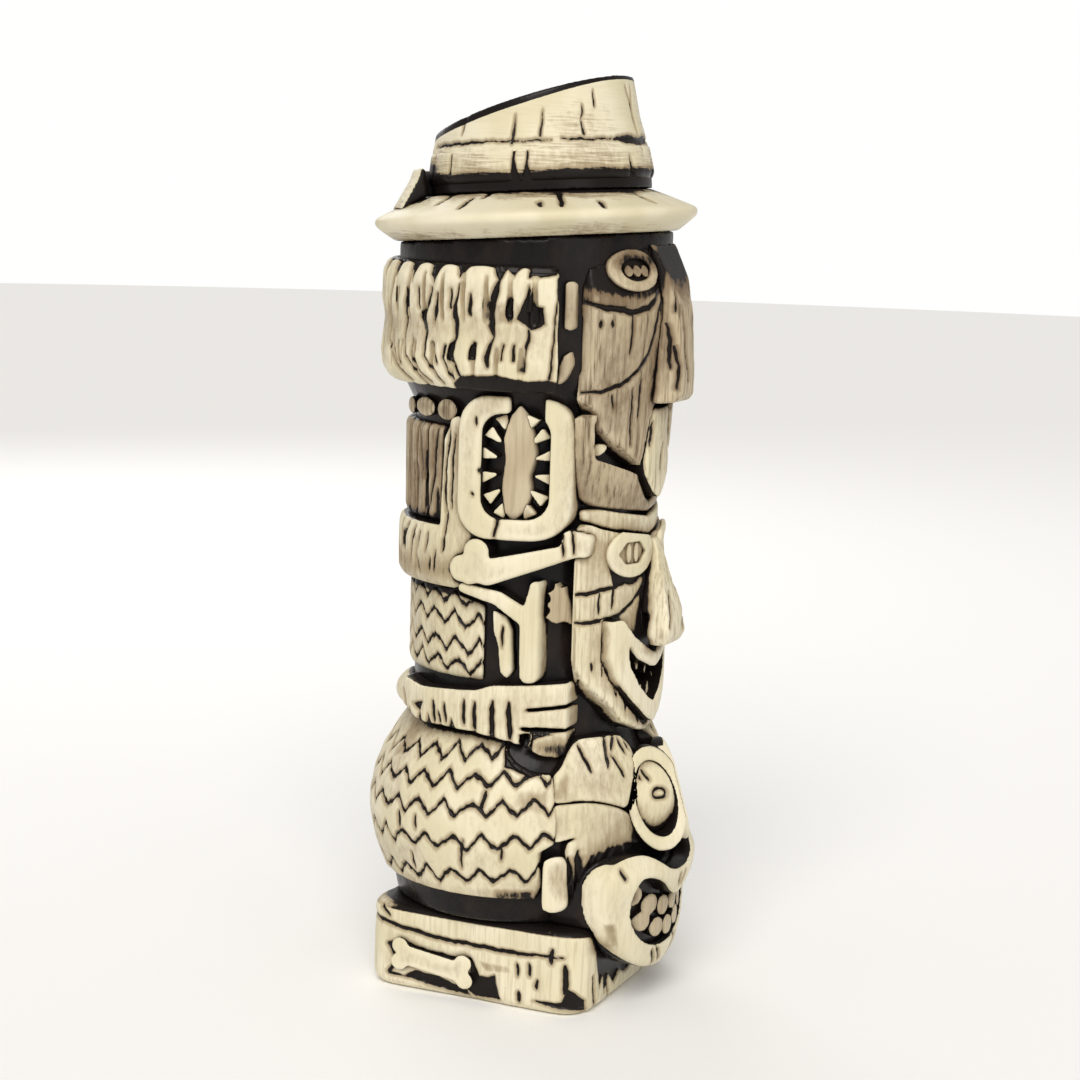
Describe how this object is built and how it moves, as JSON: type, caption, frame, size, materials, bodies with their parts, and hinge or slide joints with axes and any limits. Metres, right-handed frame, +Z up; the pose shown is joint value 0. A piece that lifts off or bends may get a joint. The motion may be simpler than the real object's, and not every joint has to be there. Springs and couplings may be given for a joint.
{
  "type": "tiki mug",
  "caption": "Tall glazed ceramic drinking mug in a carved style: stacked masks, side relief, and a slanted hat whose open crown is the drinking mouth, on a square plinth.",
  "frame": {"origin": "on the table, under the axis of the round vessel", "axes": "+Z up along the vessel, -Y the way the masks look, X left to right"},
  "size_m": [0.0806, 0.087, 0.2303],
  "materials": {
    "ivory_glaze": "satin ivory glaze with dark wash in the recesses",
    "tan_glaze": "satin ivory glaze with a brown wash over it",
    "black_glaze": "gloss black glaze"
  },
  "bodies": {
    "root": {"vessel": "black_glaze", "plinth": "ivory_glaze", "hat_brim": "ivory_glaze", "brim_flap": "ivory_glaze", "hat_band": "ivory_glaze", "hat_crown": "ivory_glaze", "hair_block": "ivory_glaze", "sideburn_right": "tan_glaze", "sideburn_left": "tan_glaze", "upper_face": "tan_glaze", "upper_nose": "tan_glaze", "upper_eye_ring_right": "tan_glaze", "upper_eye_ring_left": "tan_glaze", "upper_eye_beads": "tan_glaze", "upper_lip": "ivory_glaze", "upper_jaw": "tan_glaze", "upper_teeth": "ivory_glaze", "headband": "ivory_glaze", "slats": "tan_glaze", "cuff_band": "ivory_glaze", "toothed_ring_right": "ivory_glaze", "toothed_ring_left": "ivory_glaze", "ring_teeth_right": "ivory_glaze", "ring_teeth_left": "ivory_glaze", "ring_tongue_right": "tan_glaze", "ring_tongue_left": "tan_glaze", "middle_face": "ivory_glaze", "middle_nose": "ivory_glaze", "middle_eye_ring_right": "ivory_glaze", "middle_eye_ring_left": "ivory_glaze", "middle_pupils": "ivory_glaze", "middle_lips": "ivory_glaze", "middle_teeth": "tan_glaze", "ear_tuft_right": "tan_glaze", "ear_tuft_left": "tan_glaze", "bone_club_right": "ivory_glaze", "bone_club_left": "ivory_glaze", "staff_right": "ivory_glaze", "staff_left": "ivory_glaze", "drop_right": "ivory_glaze", "drop_left": "ivory_glaze", "zigzag_panel": "ivory_glaze", "forearm_right": "ivory_glaze", "forearm_left": "ivory_glaze", "zigzag_drum": "ivory_glaze", "brow_right": "ivory_glaze", "brow_left": "ivory_glaze", "cheek_right": "ivory_glaze", "cheek_left": "ivory_glaze", "lower_eye_ring_right": "ivory_glaze", "lower_eye_ring_left": "ivory_glaze", "lower_eyeball_right": "ivory_glaze", "lower_eyeball_left": "ivory_glaze", "muzzle": "black_glaze", "lower_lips": "ivory_glaze", "lower_teeth": "tan_glaze", "ear_tab_right": "ivory_glaze", "ear_tab_left": "ivory_glaze", "plinth_bone_right": "ivory_glaze", "plinth_bone_left": "ivory_glaze"}
  },
  "joints": []
}
